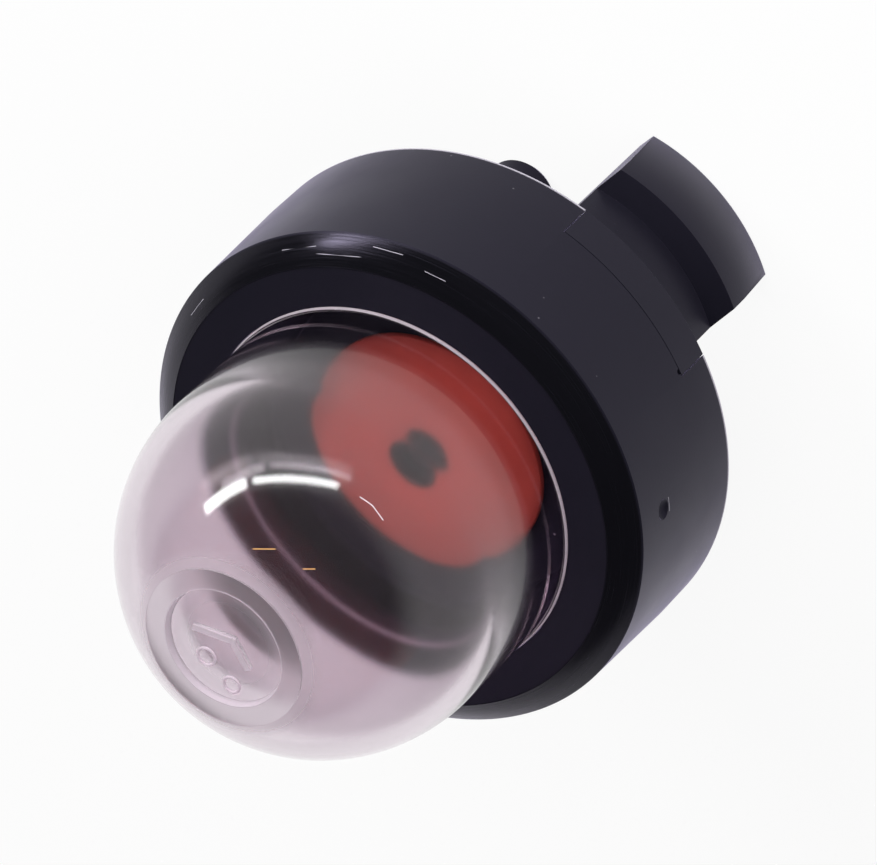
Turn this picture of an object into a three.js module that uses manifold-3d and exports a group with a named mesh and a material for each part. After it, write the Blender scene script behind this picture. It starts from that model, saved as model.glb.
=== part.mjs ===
// Snap-in primer bulb of a small petrol engine. A clear flexible dome is clamped by its flange between a
// black cap ring and a black base. The base carries a red combination valve on a plate, two hose nipples
// and two snap arms that hold the whole in a round hole of the machine's housing.
// Millimetres. +Z points to the tip of the dome, +X runs through one snap arm and +Y through the inlet
// nipple. The origin is on the axis, in the plane of the back face that seats on the housing.

import * as THREE from "three";
import { mergeVertices } from "three/addons/utils/BufferGeometryUtils.js";
import Module from "manifold-3d";

const wasm = await Module();
wasm.setup();

// Clearances
const NECK_GAP = 0.15; // between the dome's neck and the hole of the cap ring
const FLANGE_GAP = 0.4; // between the dome's flange and the bore of the cap ring
const SKIRT_GAP = 0.15; // between the base and the bore of the cap ring
const KEY_GAP = 0.1; // round each key in its slot
const PLATE_GAP = 0.1; // between the valve plate and the cup of the base
const STEM_GAP = 0.1; // between the valve's stem and the hole of its plate
const WELL_GAP = 0.4; // between the valve's bead and the outlet well
const BILL_GAP = 0.6; // between the tip of the duckbill and the floor of the well

// Cap ring
const RING_HEIGHT = 10.15; // from the back face to the front face
const RING_DRAFT = 0.25; // how much narrower the skirt is where the chamfer starts
const CHAMFER_WIDTH = 1.5; // of the front chamfer, across the axis
const CHAMFER_HEIGHT = 1.12; // of the front chamfer, along the axis
const SKIRT_WALL = 1.75; // from the back face to the parting line
const FRONT_WALL = 1.55; // of the plate that clamps the flange
const EDGE_ROUND = 0.12; // small broken edge of the ring's hole and back

// Dome and its flange
const DOME_RADIUS = 10.6; // of the neck and of the round end
const DOME_STAND = 6.64; // from the ring's front face to the centre of the round end
const DOME_WALL = 1.3; // of the neck
const CROWN_WALL = 2.2; // at the crown, before the pad's recess
const FLANGE_WIDTH = 2.0; // outside the neck
const FLANGE_THICKNESS = 1.4;
const PAD_RADIUS = 4.53; // of the flat thumb pad on the crown
const PAD_STEP = 0.13; // how proud the pad's rim is of the round end
const RECESS_RADIUS = 3.39; // of the dished recess in the pad
const RECESS_DEPTH = 0.4; // at its edge
const RECESS_DISH = 0.2; // further down at its middle

// Valve plate and the holes under the umbrella
const CUP_LAP = 0.2; // how much wider the cup is than the inside of the dome
const CUP_DEPTH = 0.8; // from the shoulder under the flange to the top of the plate
const PLATE_THICKNESS = 1.2;
const INLET_HOLE_RADIUS = 0.55;
const INLET_CIRCLE = 4.2; // radius of the circle of inlet holes
const INLET_HOLES = 5;
const INLET_ANGLE = 50; // degrees between two holes

// Combination valve
const UMBRELLA_RADIUS = 6.8;
const UMBRELLA_THICKNESS = 0.8;
const UMBRELLA_RIM = 0.4; // thickness at the rim
const UMBRELLA_LAND = 0.9; // width of the sealing band at the rim
const UMBRELLA_RELIEF = 0.2; // depth of the hollow under the umbrella
const STEM_RADIUS = 2.1;
const BEAD_REACH = 0.3; // how far the bead that holds the stem reaches past it
const BEAD_HEIGHT = 0.7;
const VALVE_BORE = 1.4; // radius
const BILL_LENGTH = 1.9; // of the tapered end of the duckbill
const BILL_TIP = 0.7; // thickness at the tip
const BILL_SLIT = 0.12; // width of the slit

// Passages in the base
const WELL_FLOOR = 0.9; // wall under the outlet well
const GALLERY_FLOOR = 2.0; // wall under the inlet gallery and the two channels
const GALLERY_WIDTH = 1.6; // of the ring-shaped inlet gallery
const GALLERY_WALL = 1.0; // between the gallery and the outlet channel
const CHANNEL_WIDTH = 2.0;

// Hose nipples
const NIPPLE_OFFSET = 6.5; // from the axis, along Y
const NIPPLE_LENGTH = 13.2; // from the back face
const NIPPLE_RADIUS = 1.75;
const NIPPLE_BORE = 1.0; // radius
const BARB_RADIUS = 2.12;
const BARB_LENGTH = 0.35; // from the tip to the widest place
const BARB_BACK = 1.4; // from the widest place back to the shank
const TIP_RADIUS = 1.85; // outer radius of the flat end

// Snap arms
const ARM_WIDTH = 9.55; // between its two parallel sides
const ARM_RADIUS = 10.25; // of its outer wall
const ARM_WALL = 1.85; // at its middle, in to its flat inner face
const ARM_LENGTH = 13.3; // from the back face
const CATCH_DEPTH = 7.5; // from the back face to the catch face, at the arm's wall
const CATCH_SLOPE = 0.7; // how much deeper the catch face lies at the lip
const CATCH_REACH = 1.35; // of the lip, past the arm's wall
const LIP_HEIGHT = 1.2; // of the straight band on the lip
const TIP_REACH = 0.62; // past the arm's wall at the end of the lead-in
const TIP_ROUND = 0.3;

// Keys on the base, which fill the slots of the cap ring
const KEY_HEIGHT = 2.41;

// Facets
const ROUND_FACETS = 64; // round the axis
const SMALL_FACETS = 20; // round the nipples and the small holes
const DOME_STEPS = 9; // along the round end

// Heights that follow
const shoulderZ = RING_HEIGHT - FRONT_WALL - FLANGE_THICKNESS;
const plateTop = shoulderZ - CUP_DEPTH;
const plateBottom = plateTop - PLATE_THICKNESS;
const domeCentre = RING_HEIGHT + DOME_STAND;
const billTip = WELL_FLOOR + BILL_GAP;

// Radii that follow
const flangeRadius = DOME_RADIUS + FLANGE_WIDTH;
const ringBore = flangeRadius + FLANGE_GAP;
const ringRadius = ringBore + SKIRT_WALL;
const ringFront = ringRadius - RING_DRAFT;
const ringHole = DOME_RADIUS + NECK_GAP;
const domeInside = DOME_RADIUS - DOME_WALL;
const baseRadius = ringBore - SKIRT_GAP;
const cupRadius = domeInside + CUP_LAP;
const plateRadius = cupRadius - PLATE_GAP;
const stemHole = STEM_RADIUS + STEM_GAP;
const beadRadius = STEM_RADIUS + BEAD_REACH;
const wellRadius = beadRadius + WELL_GAP;

const OVERSHOOT = 1; // how far a cutting shape runs past the face that it cuts

const blackPlastic = new THREE.MeshStandardMaterial({ color: 0x201f26, roughness: 0.45, metalness: 0 });
const clearPlastic = new THREE.MeshStandardMaterial({
  color: 0xd6ced4,
  roughness: 0.25,
  metalness: 0,
  transparent: true,
  opacity: 0.45,
});
const redRubber = new THREE.MeshStandardMaterial({ color: 0xa83c2c, roughness: 0.6, metalness: 0 });

// A profile of [radius, height] points, turned about Z. It runs up its outer side, so that its faces
// point out, and it starts and ends on the axis or closes on itself.
function turned(profile, facets = ROUND_FACETS) {
  const points = profile.map(([radius, height]) => new THREE.Vector2(radius, height));
  return new THREE.LatheGeometry(points, facets).rotateX(Math.PI / 2);
}

// An upright round bar between two heights
function bar(radius, low, high, facets = SMALL_FACETS) {
  return turned([[0, low], [radius, low], [radius, high], [0, high]], facets);
}

// A box between two corners
function block(low, high) {
  const size = high.map((value, axis) => value - low[axis]);
  const middle = high.map((value, axis) => (value + low[axis]) / 2);
  return new THREE.BoxGeometry(...size).translate(...middle);
}

// An outline of [y, z] points, pushed out along X to both sides of the axis
function alongX(outline, length) {
  const shape = new THREE.Shape(outline.map(([y, z]) => new THREE.Vector2(y, z)));
  const geometry = new THREE.ExtrudeGeometry(shape, { depth: length, bevelEnabled: false });
  const turn = new THREE.Matrix4().makeBasis(
    new THREE.Vector3(0, 1, 0),
    new THREE.Vector3(0, 0, 1),
    new THREE.Vector3(1, 0, 0),
  );
  return geometry.applyMatrix4(turn).translate(-length / 2, 0, 0);
}

// A closed geometry as a solid that can be joined and cut
function solid(geometry) {
  const bare = geometry.clone();
  bare.deleteAttribute("normal");
  bare.deleteAttribute("uv");
  const merged = mergeVertices(bare);
  const corners = merged.index.array;
  const kept = [];
  for (let i = 0; i < corners.length; i += 3) {
    const [a, b, c] = corners.slice(i, i + 3);
    if (a !== b && b !== c && c !== a) {
      kept.push(a, b, c);
    }
  }
  const vertProperties = new Float32Array(merged.attributes.position.array);
  return new wasm.Manifold(new wasm.Mesh({ numProp: 3, vertProperties, triVerts: new Uint32Array(kept) }));
}

// A named piece from a solid
function piece(name, shape, material) {
  const { vertProperties, triVerts } = shape.getMesh();
  const geometry = new THREE.BufferGeometry();
  geometry.setAttribute("position", new THREE.BufferAttribute(vertProperties, 3));
  geometry.setIndex(new THREE.BufferAttribute(triVerts, 1));
  geometry.computeVertexNormals();
  const mesh = new THREE.Mesh(geometry, material);
  mesh.name = name;
  return mesh;
}

// Outer side of the ring, from the back edge to the edge of the front face. The keys follow it too.
function ringSide() {
  return [
    [ringRadius - EDGE_ROUND, 0],
    [ringRadius, EDGE_ROUND],
    [ringRadius, KEY_HEIGHT],
    [ringFront, RING_HEIGHT - CHAMFER_HEIGHT],
    [ringFront - CHAMFER_WIDTH, RING_HEIGHT],
  ];
}

// A box over one key: it reaches from inside the base out through the skirt
function keyBlock(side, gap, low) {
  const inner = baseRadius - OVERSHOOT;
  const outer = ringRadius + OVERSHOOT;
  const halfWidth = ARM_WIDTH / 2 + gap;
  const from = Math.min(side * inner, side * outer);
  const to = Math.max(side * inner, side * outer);
  return block([from, -halfWidth, low], [to, halfWidth, KEY_HEIGHT - KEY_GAP + gap]);
}

function capRing() {
  const skirt = solid(turned([
    ...ringSide(),
    [ringHole + EDGE_ROUND, RING_HEIGHT],
    [ringHole, RING_HEIGHT - EDGE_ROUND],
    [ringHole, RING_HEIGHT - FRONT_WALL],
    [ringBore, RING_HEIGHT - FRONT_WALL],
    [ringBore, 0],
    [ringRadius - EDGE_ROUND, 0],
  ]));
  return [1, -1].reduce(
    (ring, side) => ring.subtract(solid(keyBlock(side, KEY_GAP, -OVERSHOOT))),
    skirt,
  );
}

// Points along the round end, from the neck up to the radius where it stops
function roundEnd(radius, height, stopRadius) {
  const points = [];
  const last = Math.acos(stopRadius / radius);
  for (let step = 0; step <= DOME_STEPS; step += 1) {
    const angle = (last * step) / DOME_STEPS;
    points.push([radius * Math.cos(angle), domeCentre + height * Math.sin(angle)]);
  }
  return points;
}

function bulbProfile() {
  const padTop = domeCentre + Math.sqrt(DOME_RADIUS ** 2 - PAD_RADIUS ** 2) + PAD_STEP;
  const recessFloor = padTop - RECESS_DEPTH;
  const flangeTop = shoulderZ + FLANGE_THICKNESS;
  const insideHeight = DOME_RADIUS - CROWN_WALL;
  const inside = roundEnd(domeInside, insideHeight, 0).reverse();
  return [
    [0, domeCentre + insideHeight],
    ...inside.slice(1),
    [domeInside, shoulderZ],
    [flangeRadius, shoulderZ],
    [flangeRadius, flangeTop],
    [DOME_RADIUS, flangeTop],
    ...roundEnd(DOME_RADIUS, DOME_RADIUS, PAD_RADIUS),
    [PAD_RADIUS, padTop],
    [RECESS_RADIUS, padTop],
    [RECESS_RADIUS, recessFloor],
    [RECESS_RADIUS / 2, recessFloor - RECESS_DISH * 0.75],
    [0, recessFloor - RECESS_DISH],
  ];
}

// Inlet holes of the plate, spread to both sides of +Y
function inletHoles() {
  const holes = [];
  for (let index = 0; index < INLET_HOLES; index += 1) {
    const turn = THREE.MathUtils.degToRad(INLET_ANGLE * (index - (INLET_HOLES - 1) / 2));
    const hole = bar(INLET_HOLE_RADIUS, plateBottom - OVERSHOOT, plateTop + OVERSHOOT);
    holes.push(hole.translate(INLET_CIRCLE * Math.sin(turn), INLET_CIRCLE * Math.cos(turn), 0));
  }
  return holes;
}

function valvePlate() {
  const plate = solid(turned([
    [stemHole, plateBottom],
    [plateRadius, plateBottom],
    [plateRadius, plateTop],
    [stemHole, plateTop],
    [stemHole, plateBottom],
  ]));
  return inletHoles().reduce((left, hole) => left.subtract(solid(hole)), plate);
}

// The umbrella rests on the plate, its stem runs through the plate and its duckbill hangs in the well.
function combinationValve() {
  const beadTop = plateBottom - STEM_GAP;
  const top = plateTop + UMBRELLA_THICKNESS;
  const billTop = billTip + BILL_LENGTH;
  const landInside = UMBRELLA_RADIUS - UMBRELLA_LAND;
  const umbrella = solid(turned([
    [0, billTip],
    [STEM_RADIUS, billTip],
    [STEM_RADIUS, beadTop - BEAD_HEIGHT],
    [beadRadius, beadTop - BEAD_HEIGHT / 2],
    [beadRadius, beadTop],
    [STEM_RADIUS, beadTop],
    [STEM_RADIUS, plateTop],
    [beadRadius, plateTop],
    [beadRadius + UMBRELLA_RELIEF, plateTop + UMBRELLA_RELIEF],
    [landInside - UMBRELLA_RELIEF, plateTop + UMBRELLA_RELIEF],
    [landInside, plateTop],
    [UMBRELLA_RADIUS, plateTop],
    [UMBRELLA_RADIUS, plateTop + UMBRELLA_RIM],
    [UMBRELLA_RADIUS - UMBRELLA_RIM, top - UMBRELLA_RIM / 2],
    [VALVE_BORE * 1.5, top],
    [0, top],
  ]));
  const outside = alongX([
    [-BILL_TIP / 2, billTip],
    [BILL_TIP / 2, billTip],
    [STEM_RADIUS, billTop],
    [UMBRELLA_RADIUS + OVERSHOOT, billTop],
    [UMBRELLA_RADIUS + OVERSHOOT, top + OVERSHOOT],
    [-UMBRELLA_RADIUS - OVERSHOOT, top + OVERSHOOT],
    [-UMBRELLA_RADIUS - OVERSHOOT, billTop],
    [-STEM_RADIUS, billTop],
  ], 2 * (UMBRELLA_RADIUS + OVERSHOOT));
  const inside = alongX([
    [-BILL_SLIT / 2, billTip - OVERSHOOT],
    [BILL_SLIT / 2, billTip - OVERSHOOT],
    [BILL_SLIT / 2, billTip],
    [VALVE_BORE, billTop],
    [VALVE_BORE, top + OVERSHOOT],
    [-VALVE_BORE, top + OVERSHOOT],
    [-VALVE_BORE, billTop],
    [-BILL_SLIT / 2, billTip],
  ], 2 * (VALVE_BORE + OVERSHOOT));
  const bore = solid(bar(VALVE_BORE, billTip - OVERSHOOT, top + OVERSHOOT)).intersect(solid(inside));
  return umbrella.intersect(solid(outside)).subtract(bore);
}

// Inlet gallery: a ring-shaped groove under the inlet holes, left shut where the outlet channel passes
function inletGallery() {
  const inner = INLET_CIRCLE - GALLERY_WIDTH / 2;
  const outer = INLET_CIRCLE + GALLERY_WIDTH / 2;
  const halfBridge = CHANNEL_WIDTH / 2 + GALLERY_WALL;
  const groove = solid(turned([
    [inner, GALLERY_FLOOR],
    [outer, GALLERY_FLOOR],
    [outer, plateBottom + PLATE_THICKNESS / 2],
    [inner, plateBottom + PLATE_THICKNESS / 2],
    [inner, GALLERY_FLOOR],
  ]));
  const bridge = block([-halfBridge, -outer - OVERSHOOT, 0], [halfBridge, 0, plateTop]);
  return groove.subtract(solid(bridge));
}

// Straight channel from one radius out to the bore of a nipple, on the side that sign gives
function channel(sign, startRadius) {
  const near = sign * startRadius;
  const far = sign * (NIPPLE_OFFSET + NIPPLE_BORE);
  const half = CHANNEL_WIDTH / 2;
  return block(
    [-half, Math.min(near, far), GALLERY_FLOOR],
    [half, Math.max(near, far), plateBottom + PLATE_THICKNESS / 2],
  );
}

function nipple() {
  return turned([
    [0, -NIPPLE_LENGTH],
    [TIP_RADIUS, -NIPPLE_LENGTH],
    [BARB_RADIUS, -NIPPLE_LENGTH + BARB_LENGTH],
    [NIPPLE_RADIUS, -NIPPLE_LENGTH + BARB_LENGTH + BARB_BACK],
    [NIPPLE_RADIUS, GALLERY_FLOOR / 2],
    [0, GALLERY_FLOOR / 2],
  ], SMALL_FACETS);
}

// A snap arm: its outer side is turned about the axis, and its other sides and its inner face are flat
function snapArm(side) {
  const lip = ARM_RADIUS + CATCH_REACH;
  const lipTop = -CATCH_DEPTH - CATCH_SLOPE;
  const tip = ARM_RADIUS + TIP_REACH;
  const root = GALLERY_FLOOR / 2;
  const outside = turned([
    [0, -ARM_LENGTH],
    [tip - TIP_ROUND, -ARM_LENGTH],
    [tip, -ARM_LENGTH + TIP_ROUND],
    [lip, lipTop - LIP_HEIGHT],
    [lip, lipTop],
    [ARM_RADIUS, -CATCH_DEPTH],
    [ARM_RADIUS, root],
    [0, root],
  ], 2 * ROUND_FACETS);
  const half = ARM_WIDTH / 2;
  const near = side * (ARM_RADIUS - ARM_WALL);
  const far = side * (lip + OVERSHOOT);
  const trim = block(
    [Math.min(near, far), -half, -ARM_LENGTH - OVERSHOOT],
    [Math.max(near, far), half, root + OVERSHOOT],
  );
  return solid(outside).intersect(solid(trim));
}

// A key is the ring's own outer side, cut to the slot less its clearance
function key(side) {
  const body = turned([[0, 0], ...ringSide(), [0, RING_HEIGHT]]);
  return solid(body).intersect(solid(keyBlock(side, 0, -OVERSHOOT)));
}

function base() {
  let body = solid(turned([
    [0, 0],
    [baseRadius, 0],
    [baseRadius, shoulderZ],
    [cupRadius, shoulderZ],
    [cupRadius, plateBottom],
    [0, plateBottom],
  ]));
  body = body.subtract(inletGallery());
  body = body.subtract(solid(bar(wellRadius, WELL_FLOOR, plateTop, ROUND_FACETS)));
  body = body.subtract(solid(channel(1, INLET_CIRCLE)));
  body = body.subtract(solid(channel(-1, 0)));
  for (const side of [1, -1]) {
    body = body.add(snapArm(side)).add(key(side));
    body = body.add(solid(nipple().translate(0, side * NIPPLE_OFFSET, 0)));
    const bore = bar(NIPPLE_BORE, -NIPPLE_LENGTH - OVERSHOOT, GALLERY_FLOOR + OVERSHOOT);
    body = body.subtract(solid(bore.translate(0, side * NIPPLE_OFFSET, 0)));
  }
  return body;
}

const primerBulb = new THREE.Group();
const bulb = new THREE.Mesh(turned(bulbProfile()), clearPlastic);
bulb.name = "bulb";
primerBulb.add(bulb);
primerBulb.add(piece("cap_ring", capRing(), blackPlastic));
primerBulb.add(piece("base", base(), blackPlastic));
primerBulb.add(piece("valve_plate", valvePlate(), blackPlastic));
primerBulb.add(piece("combination_valve", combinationValve(), redRubber));

export default primerBulb;
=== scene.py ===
import math

import bmesh
import bpy
from mathutils import Matrix, Vector


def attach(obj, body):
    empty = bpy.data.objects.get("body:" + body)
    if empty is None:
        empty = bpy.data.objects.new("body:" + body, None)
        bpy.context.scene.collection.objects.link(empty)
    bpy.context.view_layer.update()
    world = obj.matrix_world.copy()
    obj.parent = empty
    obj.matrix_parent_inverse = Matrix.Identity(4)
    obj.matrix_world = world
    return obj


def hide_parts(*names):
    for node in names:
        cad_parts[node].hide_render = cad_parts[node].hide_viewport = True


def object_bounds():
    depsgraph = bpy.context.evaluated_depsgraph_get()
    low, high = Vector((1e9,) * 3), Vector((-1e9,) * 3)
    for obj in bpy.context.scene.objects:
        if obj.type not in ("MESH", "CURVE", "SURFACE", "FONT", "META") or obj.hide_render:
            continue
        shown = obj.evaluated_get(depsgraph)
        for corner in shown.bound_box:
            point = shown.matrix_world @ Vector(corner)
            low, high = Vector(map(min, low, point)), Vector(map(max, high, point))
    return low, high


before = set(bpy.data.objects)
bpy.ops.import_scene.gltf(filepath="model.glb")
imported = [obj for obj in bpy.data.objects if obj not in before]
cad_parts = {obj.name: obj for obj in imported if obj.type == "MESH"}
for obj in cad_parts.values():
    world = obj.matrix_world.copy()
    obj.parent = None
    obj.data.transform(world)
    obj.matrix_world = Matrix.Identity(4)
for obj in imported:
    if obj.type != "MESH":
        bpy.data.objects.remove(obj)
cad_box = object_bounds()


# Camera
# A long lens, which shows the bulb from above its crown, rolled so that the dome points down and left.
# Its place was fitted to the edges of the ring, the dome and the snap arm.
MM = 0.001
PICTURE_WIDTH = 877
FOCAL_PIXELS = 6000
SENSOR = 36.0
CAMERA_AIM = Vector((2.8115, 0.5803, 7.3149)) * MM
CAMERA_DISTANCE = 311.454 * MM
CAMERA_AZIMUTH = 6.5
CAMERA_ELEVATION = 46.782
CAMERA_ROLL = 134.076

azimuth = math.radians(CAMERA_AZIMUTH)
elevation = math.radians(CAMERA_ELEVATION)
camera_back = Vector((
    math.cos(elevation) * math.cos(azimuth),
    math.cos(elevation) * math.sin(azimuth),
    math.sin(elevation),
))
level = (-camera_back).to_track_quat("-Z", "Y").to_matrix()
camera_turn = level @ Matrix.Rotation(-math.radians(CAMERA_ROLL), 3, "Z")
camera_data = bpy.data.cameras.new("camera")
camera_data.sensor_width = SENSOR
camera_data.lens = SENSOR * FOCAL_PIXELS / PICTURE_WIDTH
camera_data.clip_start = 0.01
camera_data.clip_end = 10
camera = bpy.data.objects.new("camera", camera_data)
camera_place = Matrix.Translation(CAMERA_AIM + camera_back * CAMERA_DISTANCE)
camera.matrix_world = camera_place @ camera_turn.to_4x4()
bpy.context.scene.collection.objects.link(camera)
bpy.context.scene.camera = camera
bpy.context.scene.view_settings.view_transform = "Standard"


# Cap ring
# The black front ring, moulded in glass-filled nylon and welded to the base. Its side has the satin of the
# mould, its crowned chamfer is polished and scratched, and its skirt is cut for the base's keys.
RING_BACK = 14.75
RING_DRAFT = 0.25
RING_TOP = 10.15
RING_HOLE = 10.75
RING_BORE = 13.0
RING_PLATE = 1.55
CHAMFER_WIDTH = 1.5
CHAMFER_HEIGHT = 1.12
CHAMFER_CROWN = 0.06
CHAMFER_STEPS = 10
CHAMFER_FOOT = RING_TOP - CHAMFER_HEIGHT
CHAMFER_HEAD = RING_BACK - RING_DRAFT - CHAMFER_WIDTH
SEAM_HEIGHT = 2.41
KEY_HALF_WIDTH = 4.775
KEY_GAP = 0.05
GATE_PLACE = (-40.0, 6.9)  # angle round the axis and height
GATE_RADIUS = 0.8
GATE_OUT = 0.35
PIT_PLACE = (-17.9, 2.45)
PIT_RADIUS = 0.16
NUB_PLACE = (88.5, -0.05)
NUB_RADIUS = 0.45
NUB_IN = 0.46
SCRATCH_AND_HIGHLIGHT_WIDTH = 0.05
SCRATCHES_AND_HIGHLIGHT = (  # angle round the axis, sweep, radius and height; the last one, under the gate, is a painted highlight, the bright crescent under the gate pit
    (62.0, 9.0, 13.9, 9.55),
    (50.0, 12.0, 13.6, 9.8),
    (41.0, 7.0, 14.1, 9.4),
    (30.0, 5.0, 13.8, 9.62),
    (98.0, 6.0, 13.75, 9.66),
    (-41.6, 3.2, 14.6, 6.3),
)
ROUND_STEPS = 256
BLACK_NYLON = "#15141c"
POLISHED_NYLON = "#09090c"
# Pale colour of the dust specks and the scratches, and of the painted highlight under the gate
DUST_AND_HIGHLIGHT = "#a09ca6"
SATIN_ROUGHNESS = {"To Min": 0.32, "To Max": 0.42}
POLISH_ROUGHNESS = {"To Min": 0.1, "To Max": 0.34}
RING_ROUNDING = 0.1


def srgb(colour, alpha=1.0):
    """A #rrggbb colour as linear red, green and blue, with alpha"""
    parts = [int(colour[i:i + 2], 16) / 255 for i in (1, 3, 5)]
    return tuple(v / 12.92 if v <= 0.04045 else ((v + 0.055) / 1.055) ** 2.4 for v in parts) + (alpha,)


def add(tree, kind, inputs=None, **settings):
    """One node with its settings. An input takes a value, or another node's output as a link."""
    item = tree.nodes.new(kind)
    for name, value in settings.items():
        setattr(item, name, value)
    for name, value in (inputs or {}).items():
        if isinstance(value, bpy.types.NodeSocket):
            tree.links.new(value, item.inputs[name])
        else:
            item.inputs[name].default_value = value
    return item


def math_node(tree, operation, *values):
    """The result of one step of arithmetic"""
    return add(tree, "ShaderNodeMath", dict(enumerate(values)), operation=operation).outputs[0]


def new_material(name):
    """An empty material with its output node"""
    material = bpy.data.materials.new(name)
    material.use_nodes = True
    material.node_tree.nodes.clear()
    return material, material.node_tree, add(material.node_tree, "ShaderNodeOutputMaterial")


def spun(profile, closed=True, steps=ROUND_STEPS):
    """A profile of (radius, height) points in millimetres, spun round the axis into a closed skin"""
    bm = bmesh.new()
    points = [bm.verts.new((radius, 0, height)) for radius, height in profile]
    lines = [bm.edges.new(pair) for pair in zip(points, points[1:])]
    if closed:
        lines.append(bm.edges.new((points[-1], points[0])))
    bmesh.ops.spin(bm, geom=points + lines, axis=(0, 0, 1), angle=math.tau, steps=steps, use_merge=True)
    bmesh.ops.remove_doubles(bm, verts=bm.verts, dist=0.0001)
    bmesh.ops.recalc_face_normals(bm, faces=bm.faces)
    return bm


def box(low, high):
    """A box between two corners in millimetres"""
    bm = bmesh.new()
    bmesh.ops.create_cube(bm, size=1)
    bmesh.ops.scale(bm, vec=Vector(high) - Vector(low), verts=bm.verts)
    bmesh.ops.translate(bm, vec=(Vector(high) + Vector(low)) / 2, verts=bm.verts)
    return bm


def ball(radius, place, stretch=(1, 1, 1)):
    """A ball or an egg at a place in millimetres"""
    bm = bmesh.new()
    bmesh.ops.create_uvsphere(bm, u_segments=24, v_segments=12, radius=radius)
    bmesh.ops.scale(bm, vec=stretch, verts=bm.verts)
    bmesh.ops.translate(bm, vec=place, verts=bm.verts)
    return bm


def on_round(radius, degrees, height):
    """A point at a distance from the axis, an angle from +X and a height"""
    turn = math.radians(degrees)
    return Vector((radius * math.cos(turn), radius * math.sin(turn), height))


def as_object(name, bm):
    """A bmesh as an object of its own, with smooth faces"""
    mesh = bpy.data.meshes.new(name)
    bm.to_mesh(mesh)
    bm.free()
    mesh.shade_smooth()
    thing = bpy.data.objects.new(name, mesh)
    bpy.context.scene.collection.objects.link(thing)
    return thing


def combine(thing, tool, operation):
    """Joins a tool to a piece, or cuts it out of the piece, and keeps the result as the piece's mesh"""
    modifier = thing.modifiers.new("combine", "BOOLEAN")
    modifier.operation = operation
    modifier.solver = "EXACT"
    modifier.object = tool
    graph = bpy.context.evaluated_depsgraph_get()
    result = bpy.data.meshes.new_from_object(thing.evaluated_get(graph))
    thing.modifiers.clear()
    old = thing.data
    thing.data = result
    bpy.data.meshes.remove(old)
    bpy.data.objects.remove(tool)


def soften_edges(thing, width, segments=3, angle=28):
    """Breaks the sharp edges, as a mould does, and keeps the flats flat"""
    modifier = thing.modifiers.new("soft_edges", "BEVEL")
    modifier.width = width * MM
    modifier.segments = segments
    modifier.limit_method = "ANGLE"
    modifier.angle_limit = math.radians(angle)
    modifier.harden_normals = True
    modifier.miter_outer = "MITER_ARC"


def install(thing, node, material):
    """Brings a piece from millimetres to metres and puts it in the place of its CAD node"""
    thing.data.transform(Matrix.Scale(MM, 4))
    thing.data.materials.clear()
    thing.data.materials.append(material)
    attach(thing, "root")
    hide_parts(node)


def arc(centre, radius, start, end, steps):
    """Points on an arc, from one angle in degrees to another, in the plane of (radius, height)"""
    angles = [math.radians(start + (end - start) * i / steps) for i in range(steps + 1)]
    return [(centre[0] + radius * math.cos(a), centre[1] + radius * math.sin(a)) for a in angles]


def on_ring_line(turn, sweep, radius, height):
    """The two ends of a short line round the axis"""
    return on_round(radius, turn, height), on_round(radius, turn + sweep, height)


def crowned_chamfer():
    """The points of the chamfer, slightly raised in its middle"""
    start = Vector((RING_BACK - RING_DRAFT, CHAMFER_FOOT))
    run = Vector((-CHAMFER_WIDTH, CHAMFER_HEIGHT))
    out = Vector((CHAMFER_HEIGHT, CHAMFER_WIDTH)).normalized() * CHAMFER_CROWN
    shares = [i / CHAMFER_STEPS for i in range(CHAMFER_STEPS + 1)]
    return [tuple(start + run * share + out * math.sin(math.pi * share)) for share in shares]


def polar_coordinates(tree):
    """Object coordinates: the place, the distance from the axis, the angle round it and the height"""
    place = add(tree, "ShaderNodeTexCoord").outputs["Object"]
    split = add(tree, "ShaderNodeSeparateXYZ", {"Vector": place})
    x, y, height = (split.outputs[axis] for axis in "XYZ")
    square_x = math_node(tree, "POWER", x, 2.0)
    square_y = math_node(tree, "POWER", y, 2.0)
    radius = math_node(tree, "SQRT", math_node(tree, "ADD", square_x, square_y))
    angle = math_node(tree, "ARCTAN2", y, x)
    return place, radius, angle, height


def ramp_between(tree, value, low, high):
    """0 below low and 1 above high, smooth between them"""
    inputs = {"Value": value, "From Min": low, "From Max": high}
    return add(tree, "ShaderNodeMapRange", inputs, interpolation_type="SMOOTHSTEP").outputs["Result"]


def near_line(tree, place, start, end, width):
    """1 within a width of the line between two points in millimetres, and 0 outside it"""
    start, end = Vector(start) * MM, Vector(end) * MM
    along = end - start
    offset = add(tree, "ShaderNodeVectorMath", {0: place, 1: start}, operation="SUBTRACT")
    scaled = along / along.length_squared
    share = add(tree, "ShaderNodeVectorMath", {0: offset.outputs[0], 1: scaled}, operation="DOT_PRODUCT")
    held = add(tree, "ShaderNodeClamp", {"Value": share.outputs["Value"]})
    foot = add(tree, "ShaderNodeVectorMath", {0: along, "Scale": held.outputs[0]}, operation="SCALE")
    gap = add(tree, "ShaderNodeVectorMath", {0: offset.outputs[0], 1: foot.outputs[0]},
              operation="DISTANCE")
    return ramp_between(tree, gap.outputs["Value"], width / 2 * MM, width / 4 * MM)


def either(tree, masks):
    """The strongest of several masks"""
    joined = masks[0]
    for mask in masks[1:]:
        joined = math_node(tree, "MAXIMUM", joined, mask)
    return joined


def colour_mix(tree, share, first, second):
    """The first colour where share is 0, and the second where it is 1"""
    return add(tree, "ShaderNodeMix", {"Factor": share, "A": first, "B": second},
               data_type="RGBA").outputs["Result"]


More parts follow.
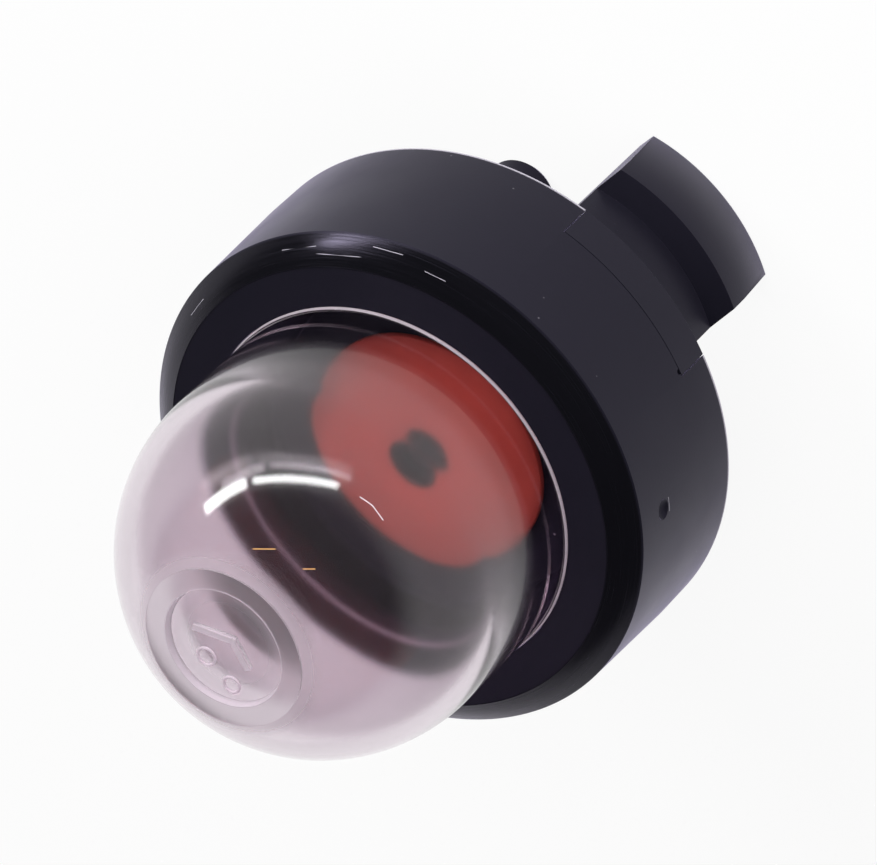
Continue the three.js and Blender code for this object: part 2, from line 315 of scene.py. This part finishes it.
def black_nylon(name, polished_chamfer):
    """Black glass-filled nylon from a satin mould: dark with a cool tint, a soft sheen, pale dust and, on
    the ring, a painted highlight under the gate
    """
    material, tree, output = new_material(name)
    place, radius, angle, height = polar_coordinates(tree)
    cloud = add(tree, "ShaderNodeTexNoise", {"Vector": place, "Scale": 220.0, "Detail": 4.0})
    grain = add(tree, "ShaderNodeTexNoise", {"Vector": place, "Scale": 9000.0, "Detail": 2.0})
    specks = add(tree, "ShaderNodeTexVoronoi", {"Vector": place, "Scale": 900.0})
    speck_size = add(tree, "ShaderNodeTexNoise", {"Vector": place, "Scale": 600.0})
    near = ramp_between(tree, specks.outputs["Distance"], 0.08, 0.03)
    chosen = ramp_between(tree, speck_size.outputs[0], 0.6, 0.68)
    pale = math_node(tree, "MULTIPLY", near, chosen)
    satin = {"Value": cloud.outputs[0], "From Min": 0.3, "From Max": 0.7, **SATIN_ROUGHNESS}
    rough = add(tree, "ShaderNodeMapRange", satin).outputs["Result"]
    colour = srgb(BLACK_NYLON)
    if polished_chamfer:
        # Streaks of polish run round the chamfer: fine across it and long along it.
        streak_place = add(tree, "ShaderNodeCombineXYZ", {
            "X": math_node(tree, "MULTIPLY", radius, 9000.0),
            "Y": math_node(tree, "MULTIPLY", angle, 2.5),
            "Z": math_node(tree, "MULTIPLY", height, 9000.0),
        }).outputs[0]
        streaks = add(tree, "ShaderNodeTexNoise", {"Vector": streak_place, "Scale": 1.0, "Detail": 3.0})
        on_chamfer = ramp_between(tree, height, (CHAMFER_FOOT + 0.02) * MM, (CHAMFER_FOOT + 0.12) * MM)
        off_front = ramp_between(tree, radius, (CHAMFER_HEAD - 0.15) * MM, (CHAMFER_HEAD + 0.05) * MM)
        polish = math_node(tree, "MULTIPLY", on_chamfer, off_front)
        gloss = {"Value": streaks.outputs[0], "From Min": 0.35, "From Max": 0.75, **POLISH_ROUGHNESS}
        shine = add(tree, "ShaderNodeMapRange", gloss).outputs["Result"]
        rough = add(tree, "ShaderNodeMix", {"Factor": polish, "A": rough, "B": shine}).outputs[0]
        colour = colour_mix(tree, polish, colour, srgb(POLISHED_NYLON))
        # Pale scratch lines, and a painted highlight: the last line is the bright crescent under the gate,
        # painted pale.
        scratch_and_highlight_masks = [near_line(tree, place, *on_ring_line(*line), SCRATCH_AND_HIGHLIGHT_WIDTH) for line in SCRATCHES_AND_HIGHLIGHT]
        at_back = ramp_between(tree, height, 0.16 * MM, 0.06 * MM)
        at_side = ramp_between(tree, radius, (RING_BACK - 0.2) * MM, (RING_BACK - 0.1) * MM)
        worn_edge = math_node(tree, "MULTIPLY", at_back, at_side)
        pale = either(tree, [pale, *scratch_and_highlight_masks, worn_edge])
    dust_and_highlight = colour_mix(tree, pale, colour, srgb(DUST_AND_HIGHLIGHT))
    bump = add(tree, "ShaderNodeBump", {"Height": grain.outputs[0], "Strength": 0.12, "Distance": 0.02 * MM})
    shader = add(tree, "ShaderNodeBsdfPrincipled", {
        "Base Color": dust_and_highlight,
        "Roughness": rough,
        "IOR": 1.45,
        "Specular IOR Level": 0.18,
        "Specular Tint": srgb("#e2d8ff"),
        "Sheen Weight": 0.5,
        "Sheen Roughness": 0.3,
        "Sheen Tint": srgb("#b3a6d6"),
        "Normal": bump.outputs["Normal"],
    })
    tree.links.new(shader.outputs[0], output.inputs["Surface"])
    return material


ring_profile = [
    (RING_BORE, 0),
    (RING_BACK, 0),
    (RING_BACK, SEAM_HEIGHT),
    *crowned_chamfer(),
    (RING_HOLE, RING_TOP),
    (RING_HOLE, RING_TOP - RING_PLATE),
    (RING_BORE, RING_TOP - RING_PLATE),
]
cap_ring = as_object("cap_ring_moulding", spun(ring_profile))
for side in (1, -1):
    slot_x = sorted((side * (RING_BORE - 1), side * (RING_BACK + 1)))
    half = KEY_HALF_WIDTH + KEY_GAP
    slot = box((slot_x[0], -half, -1), (slot_x[1], half, SEAM_HEIGHT))
    combine(cap_ring, as_object("slot", slot), "DIFFERENCE")
gate = ball(GATE_RADIUS, on_round(RING_BACK + GATE_OUT, *GATE_PLACE), stretch=(1, 1, 0.8))
combine(cap_ring, as_object("gate", gate), "DIFFERENCE")
pit = ball(PIT_RADIUS, on_round(RING_BACK, *PIT_PLACE))
combine(cap_ring, as_object("pit", pit), "DIFFERENCE")
nub = ball(NUB_RADIUS, on_round(RING_BACK - NUB_IN, *NUB_PLACE))
combine(cap_ring, as_object("nub", nub), "UNION")
soften_edges(cap_ring, RING_ROUNDING)
install(cap_ring, "cap_ring",
        black_nylon("moulded_black_nylon_ring", polished_chamfer=True))


# Base
# The black body under the dome, moulded in one with its two snap arms, its two hose nipples and the two
# keys that fill the ring's slots. It has the same satin nylon as the ring.
BASE_RADIUS = 12.85
SHOULDER = 7.2
CUP_RADIUS = 9.5
CUP_FLOOR = 5.2
ARM_OUTER = 10.25
ARM_INNER = 8.4
ARM_LENGTH = 13.3
CATCH_DEPTH = 7.5
CATCH_BOTTOM = 8.2
LIP_OUTER = 11.6
LIP_HEIGHT = 1.2
ARM_TIP = 10.87
NIPPLE_OFFSET = 6.5
NIPPLE_LENGTH = 13.2
NIPPLE_RADIUS = 1.75
NIPPLE_BORE = 1.0
BEAD_RADIUS = 2.12
BEAD_HEIGHTS = (0.35, 1.75)
NIPPLE_TIP = 1.85
BASE_ROUNDING = 0.12


def side_block(profile, side, inner):
    """The part of a turned shape between two planes parallel to XZ, past a flat inner face"""
    turned = as_object("turned", spun(profile, closed=False))
    reach = sorted((side * inner, side * (RING_BACK + 1)))
    keep = box((reach[0], -KEY_HALF_WIDTH, -ARM_LENGTH - 1), (reach[1], KEY_HALF_WIDTH, RING_TOP))
    combine(turned, as_object("keep", keep), "INTERSECT")
    return turned


base_profile = [
    (0, 0),
    (BASE_RADIUS, 0),
    (BASE_RADIUS, SHOULDER),
    (CUP_RADIUS, SHOULDER),
    (CUP_RADIUS, CUP_FLOOR),
    (0, CUP_FLOOR),
]
arm_profile = [
    (0, -ARM_LENGTH),
    (ARM_TIP - 0.2, -ARM_LENGTH),
    (ARM_TIP, -ARM_LENGTH + 0.3),
    (LIP_OUTER, -CATCH_BOTTOM - LIP_HEIGHT),
    (LIP_OUTER, -CATCH_BOTTOM),
    (ARM_OUTER, -CATCH_DEPTH),
    (ARM_OUTER, 1),
    (0, 1),
]
key_profile = [
    (0, 0.02),
    (RING_BACK, 0.02),
    (RING_BACK, SEAM_HEIGHT - KEY_GAP),
    (0, SEAM_HEIGHT - KEY_GAP),
]
nipple_profile = [
    (0, -1),
    (NIPPLE_BORE, -1),
    (NIPPLE_BORE, -NIPPLE_LENGTH),
    (NIPPLE_TIP, -NIPPLE_LENGTH),
    (BEAD_RADIUS, -NIPPLE_LENGTH + BEAD_HEIGHTS[0]),
    (NIPPLE_RADIUS, -NIPPLE_LENGTH + BEAD_HEIGHTS[1]),
    (NIPPLE_RADIUS, 1),
    (0, 1),
]
base = as_object("base_moulding", spun(base_profile, closed=False))
for side in (1, -1):
    combine(base, side_block(arm_profile, side, ARM_INNER), "UNION")
    combine(base, side_block(key_profile, side, BASE_RADIUS - 1), "UNION")
    nipple = spun(nipple_profile, closed=False, steps=64)
    bmesh.ops.translate(nipple, verts=nipple.verts, vec=(0, side * NIPPLE_OFFSET, 0))
    combine(base, as_object("nipple", nipple), "UNION")
soften_edges(base, BASE_ROUNDING)
install(base, "base",
        black_nylon("moulded_black_nylon_base", polished_chamfer=False))


# Valve plate
# The black disc that closes the passages of the base and carries the valve, pierced by five inlet holes.
PLATE_RADIUS = 9.4
PLATE_TOP = 6.4
PLATE_HOLE = 2.2
INLET_CIRCLE = 4.2
INLET_RADIUS = 0.55
INLET_TURNS = (-10, 40, 90, 140, 190)
PLATE_ROUNDING = 0.08

plate_profile = [
    (PLATE_HOLE, CUP_FLOOR),
    (PLATE_RADIUS, CUP_FLOOR),
    (PLATE_RADIUS, PLATE_TOP),
    (PLATE_HOLE, PLATE_TOP),
]
valve_plate = as_object("valve_plate_disc", spun(plate_profile))
for turn in INLET_TURNS:
    drill = bmesh.new()
    bmesh.ops.create_cone(
        drill, cap_ends=True, segments=32, depth=4, radius1=INLET_RADIUS, radius2=INLET_RADIUS,
    )
    bmesh.ops.translate(drill, verts=drill.verts, vec=on_round(INLET_CIRCLE, turn, PLATE_TOP))
    combine(valve_plate, as_object("drill", drill), "DIFFERENCE")
soften_edges(valve_plate, PLATE_ROUNDING)
install(valve_plate, "valve_plate",
        black_nylon("moulded_black_nylon_plate", polished_chamfer=False))


# Combination valve
# Umbrella and duckbill in one moulding of red rubber, pulled into the plate by its bead. Its bore is painted
# dark, as painted shade of the deep hole.
UMBRELLA_RADIUS = 6.8
UMBRELLA_TOP = 7.2
STEM_RADIUS = 2.1
BEAD_REACH = 2.4
BILL_TIP = 1.5
BILL_TOP = 3.4
BILL_THICKNESS = 0.7
VALVE_BORE = 1.4
RED_RUBBER = ("#963a2f", "#ae4b3f")
# Painted shade inside the bore
BORE_SHADE = "#0c0506"
VALVE_ROUNDING = 0.08

valve_profile = [
    (VALVE_BORE, BILL_TIP + 0.3),
    (STEM_RADIUS, BILL_TIP),
    (STEM_RADIUS, BILL_TOP),
    (STEM_RADIUS, CUP_FLOOR - 0.8),
    (BEAD_REACH, CUP_FLOOR - 0.45),
    (BEAD_REACH, CUP_FLOOR - 0.1),
    (STEM_RADIUS, CUP_FLOOR - 0.1),
    (STEM_RADIUS, PLATE_TOP),
    (BEAD_REACH, PLATE_TOP),
    (BEAD_REACH + 0.2, PLATE_TOP + 0.2),
    (UMBRELLA_RADIUS - 1.1, PLATE_TOP + 0.2),
    (UMBRELLA_RADIUS - 0.9, PLATE_TOP),
    (UMBRELLA_RADIUS, PLATE_TOP),
    (UMBRELLA_RADIUS, PLATE_TOP + 0.35),
    (UMBRELLA_RADIUS - 0.4, UMBRELLA_TOP - 0.2),
    (VALVE_BORE * 1.5, UMBRELLA_TOP),
    (VALVE_BORE, UMBRELLA_TOP - 0.1),
]
valve = as_object("combination_valve_moulding", spun(valve_profile, steps=128))
# The duckbill end: below its top the stem is squeezed in Y towards the slit.
for vertex in valve.data.vertices:
    depth = (BILL_TOP - vertex.co.z) / (BILL_TOP - BILL_TIP)
    if depth > 0:
        vertex.co.y *= 1 + (BILL_THICKNESS / (2 * STEM_RADIUS) - 1) * min(depth, 1)
soften_edges(valve, VALVE_ROUNDING, angle=35)

red_rubber, tree, output = new_material("moulded_red_fluorosilicone")
place, radius, _, _ = polar_coordinates(tree)
cloud = add(tree, "ShaderNodeTexNoise", {"Vector": place, "Scale": 350.0, "Detail": 5.0})
tone = colour_mix(tree, cloud.outputs[0], *(srgb(colour) for colour in RED_RUBBER))
# Painted shade: near the axis the rubber is coloured near black, as the shadow inside the deep bore.
bore_shade_mask = ramp_between(tree, radius, (VALVE_BORE + 0.3) * MM, (VALVE_BORE + 0.05) * MM)
shader = add(tree, "ShaderNodeBsdfPrincipled", {
    "Base Color": colour_mix(tree, bore_shade_mask, tone, srgb(BORE_SHADE)),
    "Roughness": 0.5,
    "IOR": 1.4,
    "Specular IOR Level": 0.2,
})
tree.links.new(shader.outputs[0], output.inputs["Surface"])
install(valve, "combination_valve", red_rubber)


# Dome
# The soft bulb, moulded in clear polyurethane: a hollow neck and round end with a flange at its foot and
# a flat thumb pad with a dished recess on its crown. Fuel and sun have left it milky above the neck.
DOME_RADIUS = 10.6
DOME_INSIDE = 9.3
DOME_CENTRE = 16.79
INSIDE_HEIGHT = 8.4
FLANGE_RADIUS = 12.6
FLANGE_TOP = 8.6
PAD_RADIUS = 4.53
PAD_TOP = 26.5
RECESS_RADIUS = 3.39
RECESS_FLOOR = 26.1
RECESS_MIDDLE = 25.9
RECESS_DISH = ((0.75, 0.09), (0.5, 0.15), (0.25, 0.19))  # share of the radius and depth under the floor
INSIDE_TOP = DOME_CENTRE + INSIDE_HEIGHT
RIM_BEAD = (10.18, 0.12)  # height and radius
STROKE_WIDTH = 0.34
STROKE_TOP = 26.22
STROKE_FOOT = INSIDE_TOP + 0.3
PAD_RING_BEAD = 0.08
PAD_STROKES = (((0.1, -1.5), (0.5, 0.0)), ((0.5, 0.0), (-0.9, 1.6)))
PAD_RINGS = (((-1.65, 0.1), 0.5), ((-1.55, -1.8), 0.45))
MILK = "#d2c6d0"
MILK_START = 13.3
PAD_MILK = (0.25, 0.85)  # on the pad's rim and in its recess
DOME_MILK = 0.01
# Milk on the outer face of the rim bead, a painted highlight
RIM_HIGHLIGHT_MILK = 0.6
CLEAR_TINT = "#e2d7df"
CLEAR_ROUGHNESS = {"To Min": 0.03, "To Max": 0.1}
PAD_ROUGHNESS = 0.35
# Gold of the painted glints on the dome
LINT = "#d8d2da"
GLINT_GOLD = "#c99a63"
SHADOW_TINT = "#f0e8ec"
HAIR_WIDTH = 0.06
GLINT_WIDTH = 0.07
DOME_ROUNDING = 0.07
INSIDE_STEPS = 40
GLINT_LINES = (  # painted highlights, two short golden glints; two ends of each: angle, radius and height
    ((31.1, 6.0, 25.53), (22.1, 6.46, 25.2)),
    ((7.1, 6.57, 25.11), (3.7, 6.9, 24.84)),
)
HAIR = (
    ((10.5, 9.44, 21.6), (6.3, 9.51, 21.48)),
    ((6.3, 9.51, 21.48), (0.8, 9.46, 21.56)),
)


def stroke(start, end):
    """A raised bar on the floor of the recess, from one point to another"""
    start, end = Vector(start), Vector(end)
    length = (end - start).length + STROKE_WIDTH
    half = STROKE_WIDTH / 2
    bm = box((-length / 2, -half, STROKE_FOOT), (length / 2, half, STROKE_TOP))
    turn = Matrix.Rotation(math.atan2(end.y - start.y, end.x - start.x), 3, "Z")
    bmesh.ops.rotate(bm, matrix=turn, verts=bm.verts)
    bmesh.ops.translate(bm, vec=((start + end) / 2).to_3d(), verts=bm.verts)
    return bm


def raised_ring(place, radius):
    """A small raised ring on the floor of the recess"""
    section = arc((radius, STROKE_TOP - PAD_RING_BEAD), PAD_RING_BEAD, 0, 360, 12)[:-1]
    bm = spun(section, steps=40)
    bmesh.ops.translate(bm, vec=Vector(place).to_3d(), verts=bm.verts)
    return bm


def marks_on_dome(tree, place, lines, width):
    """A mask for thin marks, each between two points given as angle, radius and height"""
    ends = [[on_round(radius, turn, height) for turn, radius, height in line] for line in lines]
    return either(tree, [near_line(tree, place, start, end, width) for start, end in ends])


pad_angle = math.degrees(math.acos(PAD_RADIUS / DOME_RADIUS))
angles = [math.pi / 2 * i / INSIDE_STEPS for i in range(INSIDE_STEPS - 1, -1, -1)]
inside = [(DOME_INSIDE * math.cos(a), DOME_CENTRE + INSIDE_HEIGHT * math.sin(a)) for a in angles]
dome_profile = [
    (0, INSIDE_TOP),
    *inside,
    (DOME_INSIDE, SHOULDER),
    (FLANGE_RADIUS, SHOULDER),
    (FLANGE_RADIUS, FLANGE_TOP),
    (DOME_RADIUS, FLANGE_TOP),
    *arc((DOME_RADIUS, RIM_BEAD[0]), RIM_BEAD[1], -90, 90, 8),
    *arc((0, DOME_CENTRE), DOME_RADIUS, 0, pad_angle, 44),
    (PAD_RADIUS, PAD_TOP),
    (RECESS_RADIUS, PAD_TOP),
    (RECESS_RADIUS - 0.12, RECESS_FLOOR),
    *((RECESS_RADIUS * share, RECESS_FLOOR - depth) for share, depth in RECESS_DISH),
    (0, RECESS_MIDDLE),
]
dome = as_object("dome_moulding", spun(dome_profile, closed=False))
for start, end in PAD_STROKES:
    combine(dome, as_object("stroke", stroke(start, end)), "UNION")
for place, radius in PAD_RINGS:
    combine(dome, as_object("ring", raised_ring(place, radius)), "UNION")
soften_edges(dome, DOME_ROUNDING, angle=40)

clear_plastic, tree, output = new_material("moulded_clear_polyurethane")
place, radius, _, height = polar_coordinates(tree)
cloud = add(tree, "ShaderNodeTexNoise", {"Vector": place, "Scale": 90.0, "Detail": 3.0})
milky = ramp_between(tree, height, (MILK_START - 0.5) * MM, (MILK_START + 0.6) * MM)
haze = add(tree, "ShaderNodeMapRange", {
    "Value": cloud.outputs[0], "To Min": DOME_MILK * 0.5, "To Max": DOME_MILK * 1.5,
}).outputs["Result"]
thin_milk = math_node(tree, "MULTIPLY", milky, haze)
on_pad = ramp_between(tree, height, (PAD_TOP - 0.75) * MM, (PAD_TOP - 0.15) * MM)
in_recess = ramp_between(tree, radius, (RECESS_RADIUS + 0.1) * MM, RECESS_RADIUS * MM)
pad_share = add(tree, "ShaderNodeMapRange", {
    "Value": in_recess, "To Min": PAD_MILK[0], "To Max": PAD_MILK[1],
}).outputs["Result"]
pad_milk = math_node(tree, "MULTIPLY", on_pad, pad_share)
# Painted highlight: the outer face of the rim bead is made milky white, standing in for the bright line of
# light along the neck's edge; the bead itself is real shape.
under = ramp_between(tree, height, (RIM_BEAD[0] + 0.16) * MM, (RIM_BEAD[0] + 0.1) * MM)
over = ramp_between(tree, height, (RIM_BEAD[0] - 0.16) * MM, (RIM_BEAD[0] - 0.1) * MM)
outside = ramp_between(tree, radius, (DOME_RADIUS + 0.01) * MM, (DOME_RADIUS + 0.04) * MM)
bead_highlight = math_node(tree, "MULTIPLY", math_node(tree, "MULTIPLY", under, over), outside)
milk = either(tree, [thin_milk, pad_milk, math_node(tree, "MULTIPLY", bead_highlight, RIM_HIGHLIGHT_MILK)])
dome_rough = add(tree, "ShaderNodeMapRange", {"Value": milky, **CLEAR_ROUGHNESS}).outputs["Result"]
rough = add(tree, "ShaderNodeMix", {"Factor": on_pad, "A": dome_rough, "B": PAD_ROUGHNESS}).outputs[0]
clear = add(tree, "ShaderNodeBsdfPrincipled", {
    "Base Color": srgb(CLEAR_TINT),
    "Roughness": rough,
    "IOR": 1.46,
    "Transmission Weight": 1.0,
})
bloom = add(tree, "ShaderNodeBsdfDiffuse", {"Color": srgb(MILK)})
glow = add(tree, "ShaderNodeBsdfTranslucent", {"Color": srgb(MILK)})
body = add(tree, "ShaderNodeMixShader", {0: 0.25, 1: bloom.outputs[0], 2: glow.outputs[0]})
wall = add(tree, "ShaderNodeMixShader", {0: milk, 1: clear.outputs[0], 2: body.outputs[0]})
hairs = marks_on_dome(tree, place, HAIR, HAIR_WIDTH)
# Painted highlights: two short golden glints painted on the dome as diffuse gold lines.
glints = marks_on_dome(tree, place, GLINT_LINES, GLINT_WIDTH)
lint = add(tree, "ShaderNodeBsdfDiffuse", {"Color": srgb(LINT)})
glint = add(tree, "ShaderNodeBsdfDiffuse", {"Color": srgb(GLINT_GOLD)})
with_lint = add(tree, "ShaderNodeMixShader", {0: hairs, 1: wall.outputs[0], 2: lint.outputs[0]})
with_glints = add(tree, "ShaderNodeMixShader", {
    0: glints, 1: with_lint.outputs[0], 2: glint.outputs[0],
})
# A shadow ray passes straight through, so that the lamps light what is inside.
lets_light = add(tree, "ShaderNodeBsdfTransparent", {"Color": srgb(SHADOW_TINT)})
path = add(tree, "ShaderNodeLightPath")
surface = add(tree, "ShaderNodeMixShader", {
    0: path.outputs["Is Shadow Ray"],
    1: with_glints.outputs[0],
    2: lets_light.outputs[0],
})
tree.links.new(surface.outputs[0], output.inputs["Surface"])
install(dome, "bulb", clear_plastic)


# Floor
# A plain white sheet under the tips of the snap arms. From above it is white, less the shadow that falls
# on it, and from below it is not seen.
FLOOR_SIZE = 1.2
SHADOW_SHARE = 0.1

floor_bm = bmesh.new()
bmesh.ops.create_grid(floor_bm, x_segments=1, y_segments=1, size=FLOOR_SIZE / 2)
bmesh.ops.translate(floor_bm, verts=floor_bm.verts, vec=(0, 0, cad_box[0].z))
floor = as_object("floor", floor_bm)
white, tree, output = new_material("white_sheet")
sheet = add(tree, "ShaderNodeBsdfDiffuse", {"Color": srgb("#ededed")})
plain = add(tree, "ShaderNodeEmission", {"Color": (1, 1, 1, 1), "Strength": 1.0})
path = add(tree, "ShaderNodeLightPath")
seen = either(tree, [path.outputs[f"Is {kind} Ray"] for kind in ("Camera", "Transmission", "Glossy")])
share = math_node(tree, "MULTIPLY", seen, 1 - SHADOW_SHARE)
mixed = add(tree, "ShaderNodeMixShader", {0: share, 1: sheet.outputs[0], 2: plain.outputs[0]})
from_below = add(tree, "ShaderNodeNewGeometry").outputs["Backfacing"]
open_below = add(tree, "ShaderNodeBsdfTransparent")
one_sided = add(tree, "ShaderNodeMixShader", {
    0: from_below, 1: mixed.outputs[0], 2: open_below.outputs[0],
})
tree.links.new(one_sided.outputs[0], output.inputs["Surface"])
floor.data.materials.append(white)


# Light
# Two long soft strips to the left of the camera and above it, whose gap splits the band on the dome, a soft
# fill that isn't mirrored, and a room that is white low down and dim above. To the eye all of it is white.
LAMP_DISTANCE = 0.4
LAMP_TARGET = Vector((0, 0, 12 * MM))
ROOM_LIGHT = 0.1
WALL_TOP = (0.2, 0.4)  # rise of the direction at which the white starts and ends to fade


def soft_strip(name, start, end, width, watts, seen=True):
    """A rectangular lamp between two directions from the dome, given as right, up and towards the eye"""
    ways = [(camera_turn @ Vector(way)).normalized() for way in (start, end)]
    ends = [LAMP_TARGET + way * LAMP_DISTANCE for way in ways]
    middle = (ends[0] + ends[1]) / 2
    along = (ends[1] - ends[0]).normalized()
    back = (middle - LAMP_TARGET).normalized()
    back = (back - along * back.dot(along)).normalized()
    data = bpy.data.lights.new(name, "AREA")
    data.shape = "RECTANGLE"
    data.size = (ends[1] - ends[0]).length
    data.size_y = width
    data.energy = watts
    lamp = bpy.data.objects.new(name, data)
    lamp.visible_glossy = seen
    lamp.visible_transmission = seen
    turn = Matrix((along, back.cross(along), back)).transposed()
    lamp.matrix_world = Matrix.Translation(middle) @ turn.to_4x4()
    bpy.context.scene.collection.objects.link(lamp)


soft_strip("left_strip", (-0.88, 0.33, 0.34), (-0.61, 0.58, 0.54), 0.04, 0.8)
soft_strip("top_strip", (-0.56, 0.6, 0.57), (0.16, 0.6, 0.78), 0.026, 0.8)
soft_strip("fill", (-0.3, -0.1, 0.95), (0.4, -0.1, 0.9), 0.3, 0.9, seen=False)

world = bpy.data.worlds.new("room")
bpy.context.scene.world = world
world.use_nodes = True
tree = world.node_tree
tree.nodes.clear()
path = add(tree, "ShaderNodeLightPath")
way = add(tree, "ShaderNodeTexCoord").outputs["Generated"]
rise = add(tree, "ShaderNodeSeparateXYZ", {"Vector": way}).outputs["Z"]
low = ramp_between(tree, rise, WALL_TOP[1], WALL_TOP[0])
seen = either(tree, [low, path.outputs["Is Camera Ray"]])
strength = add(tree, "ShaderNodeMapRange", {
    "Value": seen, "To Min": ROOM_LIGHT, "To Max": 1.0,
}).outputs["Result"]
room = add(tree, "ShaderNodeBackground", {"Color": (1, 1, 1, 1), "Strength": strength})
output = add(tree, "ShaderNodeOutputWorld")
tree.links.new(room.outputs[0], output.inputs["Surface"])
